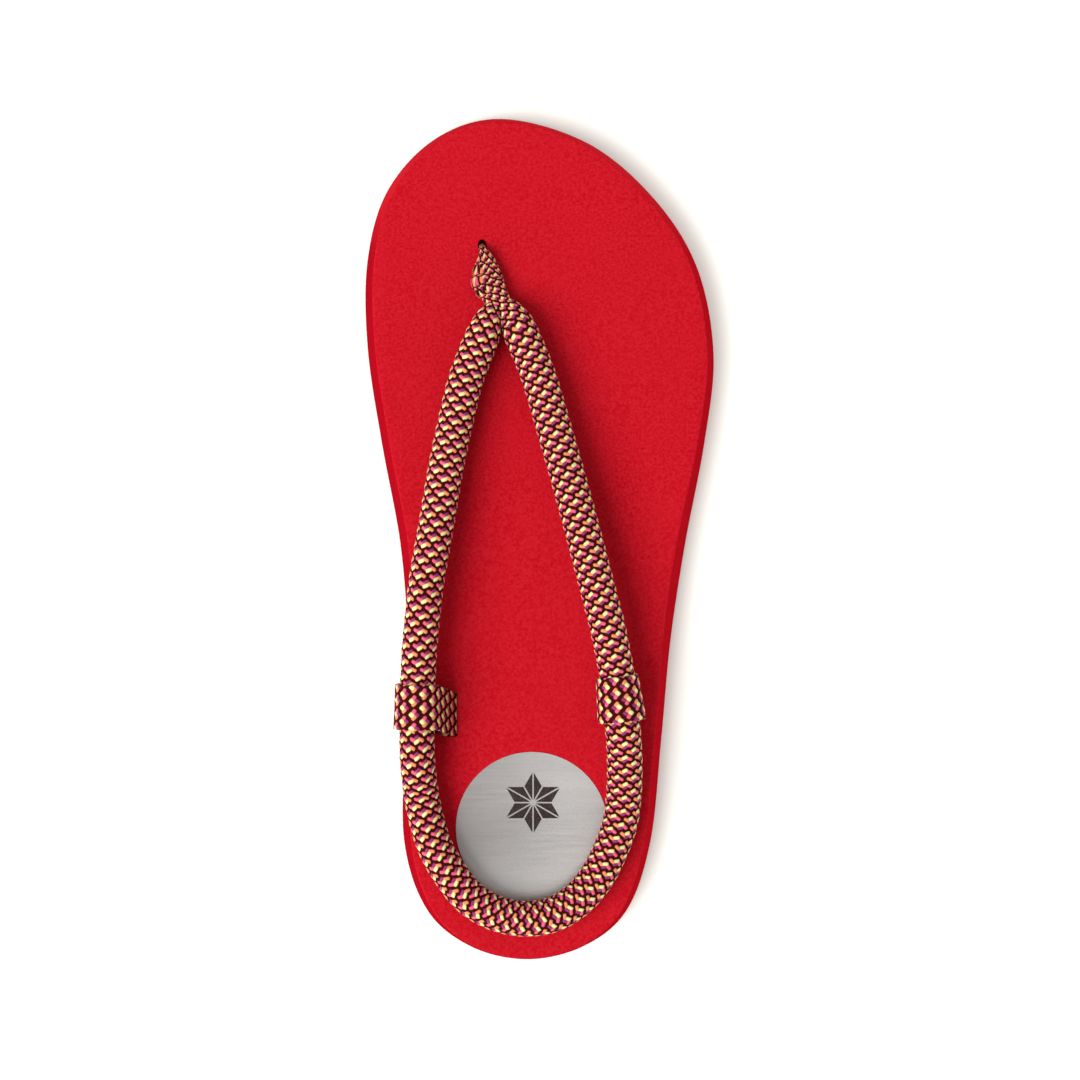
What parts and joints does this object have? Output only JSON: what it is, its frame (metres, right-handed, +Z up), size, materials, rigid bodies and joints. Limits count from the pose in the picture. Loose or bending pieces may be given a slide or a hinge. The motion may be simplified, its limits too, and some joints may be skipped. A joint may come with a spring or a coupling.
{
  "type": "waraji sandal",
  "caption": "Right-foot cord sandal: flat foam sole, one round braided cord from a toe hole round the heel and back, held by a flat braided tape loop at each side.",
  "frame": {"origin": "on the ground under the middle of the sandal's outline, halfway between heel and toe and between its two sides", "axes": "+Y from heel to toe, +X to the outer side of the right foot, +Z up from the ground"},
  "size_m": [0.104, 0.25, 0.0312],
  "materials": {
    "foam_red": "matte fine-grained foam",
    "braid_cord": "braided polyester, four colours and black",
    "braid_tape": "flat braided polyester, four colours and black"
  },
  "bodies": {
    "root": {"sole": "foam_red", "strap": "braid_cord", "loop_inner": "braid_tape", "loop_outer": "braid_tape"}
  },
  "joints": []
}
